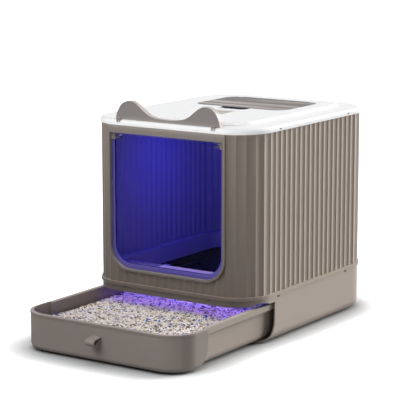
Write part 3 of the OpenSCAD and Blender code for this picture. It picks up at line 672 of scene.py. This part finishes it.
# %% Geometry Nodes: loose grains
TILT, FULL_TURN = 0.55, 6.28
scatter, given, result = new_group(
    "Geometry", "Loose grains",
    [("Geometry", "Geometry", None), ("Grains per square metre", "Float", 50000.0),
     ("Grain size", "Float", 0.002), ("Grain stretch", "Float", 3.0), ("Seed", "Int", 1),
     ("Finish", "Material", None)],
    [("Geometry", "Geometry")])
points = add(scatter, "GeometryNodeDistributePointsOnFaces", {
    "Mesh": given["Geometry"], "Density": given["Grains per square metre"], "Seed": given["Seed"]})
ball = add(scatter, "GeometryNodeMeshIcoSphere", {"Radius": given["Grain size"], "Subdivisions": 1})
turn = add(scatter, "FunctionNodeRandomValue", {
    "Min": (0.0, -TILT, 0.0), "Max": (FULL_TURN, TILT, FULL_TURN), "Seed": given["Seed"]},
    data_type="FLOAT_VECTOR")
squeeze = add(scatter, "FunctionNodeRandomValue", {
    "Min": (0.55, 0.80, 0.75), "Max": (1.00, 1.00, 1.00), "Seed": given["Seed"]},
    data_type="FLOAT_VECTOR")
longer = put(scatter, "CombineXYZ", {"X": given["Grain stretch"], "Y": 1.0, "Z": 1.0})
shaped = put(scatter, "VectorMath", {0: squeeze.outputs["Value"], 1: longer.outputs["Vector"]},
             operation="MULTIPLY")
onto = add(scatter, "GeometryNodeInstanceOnPoints", {
    "Points": points.outputs["Points"], "Instance": ball.outputs["Mesh"],
    "Rotation": turn.outputs["Value"], "Scale": shaped.outputs["Vector"]})
real = add(scatter, "GeometryNodeRealizeInstances", {0: onto.outputs[0]})
finish = add(scatter, "GeometryNodeSetMaterial", {
    "Geometry": real.outputs[0], "Material": given["Finish"]})
scatter.links.new(finish.outputs[0], result[0])
print("loose grains:", len(scatter.nodes), "nodes")

# %% [markdown]
# Each scatter starts from a narrower bed, so that even its longest rods stop at the tray's walls.
# A modifier's input is known by its socket's identifier, which stays the same if the label changes.
# The modifier could stay live, but a plain mesh is surer to look the same everywhere.

# %% Make the grains real
BALL_FACES = 20
WALL_TOUCH = 0.001


def socket_id(tree, label):
    return next(s.identifier for s in tree.interface.items_tree
                if s.name == label and s.in_out == "INPUT")


def grains(name, per_metre, size, stretch, seed, material):
    carrier = new_object(name, litter_bed(inset=size * stretch - WALL_TOUCH))
    steps = carrier.modifiers.new("grains", "NODES")
    steps.node_group = scatter
    for label, value in {"Grains per square metre": per_metre, "Grain size": size,
                         "Grain stretch": stretch, "Seed": seed, "Finish": material}.items():
        steps[socket_id(scatter, label)] = value
    evaluated = carrier.evaluated_get(bpy.context.evaluated_depsgraph_get())
    mesh = bpy.data.meshes.new_from_object(evaluated)
    carrier.modifiers.clear()
    carrier.data = mesh
    carrier.data.name = name
    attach(carrier, "drawer")
    print(name, len(mesh.polygons) // BALL_FACES, "grains")


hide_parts("litter_fill")
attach(bed, "drawer")
grains("litter_pale", 27000.0, size=0.0020, stretch=4.2, seed=4, material=pale_grit)
grains("litter_cream", 17000.0, size=0.0019, stretch=3.4, seed=5, material=pale_grit)
grains("litter_brown", 8500.0, size=0.0019, stretch=3.0, seed=7, material=brown_grit)
grains("litter_blue", 2200.0, size=0.0028, stretch=2.0, seed=11, material=blue_grit)

# %% [markdown]
# ## Floor and background
# The floor is a plain pale plane that takes the object's shadow. Brighter lamps could whiten it, but
# they would bleach the object. So it adds a little light of its own, which is seen only straight
# from the camera or through the clear flap and never falls on the object. That light and the
# floor's paleness fade close to the object, where the floor sees little open sky, and so the narrow
# shade along the line of contact stays dark. A ray that has already met a matt surface sees only
# the dim world, or the flap would let far too much white light into the cabin.

# %% Rays that see the stage bright
def shown_straight(tree, *kinds):
    seen = put(tree, "LightPath").outputs
    shown = seen[kinds[0]]
    for kind in kinds[1:]:
        shown = worked(tree, "MAXIMUM", shown, seen[kind])
    return worked(tree, "MULTIPLY", shown, worked(tree, "LESS_THAN", seen["Diffuse Depth"], 0.5))


print("helper for the stage: shown_straight")

# %% Floor
FLOOR_HALF, FLOOR_GLOW = 12.0, 0.90
FLOOR_GREY, FLOOR_WHITE = (0.35, 0.35, 0.35, 1), (0.96, 0.96, 0.96, 1)
SHADE_WIDTH, SHADE_FALL = 0.09, 3.5
corners = [(-FLOOR_HALF, -FLOOR_HALF, 0), (FLOOR_HALF, -FLOOR_HALF, 0),
           (FLOOR_HALF, FLOOR_HALF, 0), (-FLOOR_HALF, FLOOR_HALF, 0)]
plane = bpy.data.meshes.new("floor")
plane.from_pydata(corners, [], [(0, 1, 2, 3)])
floor = new_object("floor", plane)
material, tree, shader = new_material("pale floor")
shader.inputs["Roughness"].default_value = 0.9
shader.inputs["Specular IOR Level"].default_value = 0.0
shown = shown_straight(tree, "Is Camera Ray", "Is Transmission Ray")
open_sky = put(tree, "AmbientOcclusion", {"Distance": SHADE_WIDTH}, samples=8).outputs["AO"]
shown = worked(tree, "MULTIPLY", shown, worked(tree, "POWER", open_sky, SHADE_FALL))
tree.links.new(mixed(tree, shown, FLOOR_GREY, FLOOR_WHITE), shader.inputs["Base Color"])
shader.inputs["Emission Color"].default_value = (1, 1, 1, 1)
tree.links.new(worked(tree, "MULTIPLY", shown, FLOOR_GLOW), shader.inputs["Emission Strength"])
plane.materials.append(material)
print("floor:", 2 * FLOOR_HALF, "m square")

# %% World
AMBIENT = 0.14
world = bpy.data.worlds.new("studio")
bpy.context.scene.world = world
world.use_nodes = True
tree = world.node_tree
tree.nodes.clear()
shown = shown_straight(tree, "Is Camera Ray", "Is Glossy Ray", "Is Transmission Ray")
strength = worked(tree, "MAXIMUM", shown, AMBIENT)
sky = put(tree, "Background", {"Color": (1, 1, 1, 1), "Strength": strength})
tree.links.new(sky.outputs[0], put(tree, "OutputWorld").inputs["Surface"])
print("ambient light:", AMBIENT)

# %% [markdown]
# ## Studio light
# The long side is bright and the front dim, so the main light comes from low behind, on the right.
# It falls slantwise on the long side and never reaches the front. A large area lamp far away would
# do, but a sun lamp with a wide angle gives the same even light and soft shadows at any distance.
# A weaker, cooler one, high in front, fills the front and lights the lid.

# %% Lamps
COOL = (0.95, 0.97, 1.0)


def sun(name, azimuth, elevation, strength, angle, colour=(1, 1, 1)):
    lamp = new_object(name, bpy.data.lights.new(name, "SUN"))
    lamp.data.energy, lamp.data.angle = strength, math.radians(angle)
    lamp.data.color = colour
    around, up = math.radians(azimuth), math.radians(elevation)
    level = math.cos(up)
    lamp.location = Vector((math.sin(around) * level, -math.cos(around) * level, math.sin(up))) * 3
    aim(lamp, (0, 0, 0))
    print(name, "from azimuth", azimuth, "and elevation", elevation)


sun("key", azimuth=156, elevation=18, strength=5.05, angle=36)
sun("overhead", azimuth=-15, elevation=55, strength=1.6, angle=50, colour=COOL)

# %% [markdown]
# The lid's front edge is brighter than the walls below it. More light on the whole front would
# bleach the walls, so a long strip lamp with a narrow spread, level with the edge, gives it a band
# of light of its own. Neither the camera nor a reflection sees the lamp.

# %% Strip lamp for the lid's edge
STRIP_AWAY, EDGE_UP = 0.22, 0.005
lid_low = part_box("lid_cover")[0]
edge_z = lid_low.z + EDGE_UP
sheet_lamp("lid strip", (0.0, lid_low.y - STRIP_AWAY, edge_z), (0.0, lid_low.y, edge_z),
           size=(0.42, 0.012), power=0.0095, angle=5)

# %% [markdown]
# A film-like view would soften the whites, but the Standard view keeps the colours as they are
# written.

# %% Finish
bpy.context.scene.view_settings.view_transform = "Standard"
